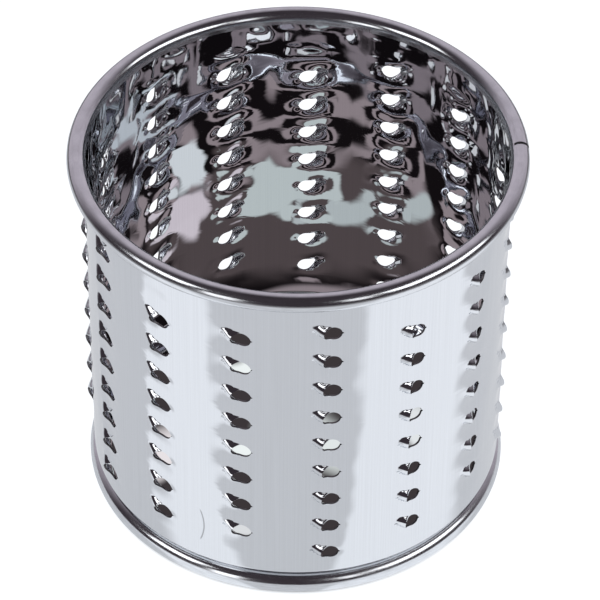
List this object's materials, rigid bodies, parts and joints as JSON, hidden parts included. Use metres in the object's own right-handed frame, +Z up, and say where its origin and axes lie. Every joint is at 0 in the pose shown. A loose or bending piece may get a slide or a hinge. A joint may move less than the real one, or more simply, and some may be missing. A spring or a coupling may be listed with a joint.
{
  "type": "grater drum",
  "caption": "Open sheet-steel grater drum with curled rims and staggered columns of punched, raised teeth, turned in a food grater.",
  "frame": {"origin": "on the drum's axis at the underside of the lower curl", "axes": "+Z up the drum's axis to the wider curl, -Y towards the camera of the picture, +X to its right"},
  "size_m": [0.1, 0.1, 0.091],
  "materials": {
    "polished_steel": "polished"
  },
  "bodies": {
    "root": {"grater_drum": "polished_steel"}
  },
  "joints": []
}
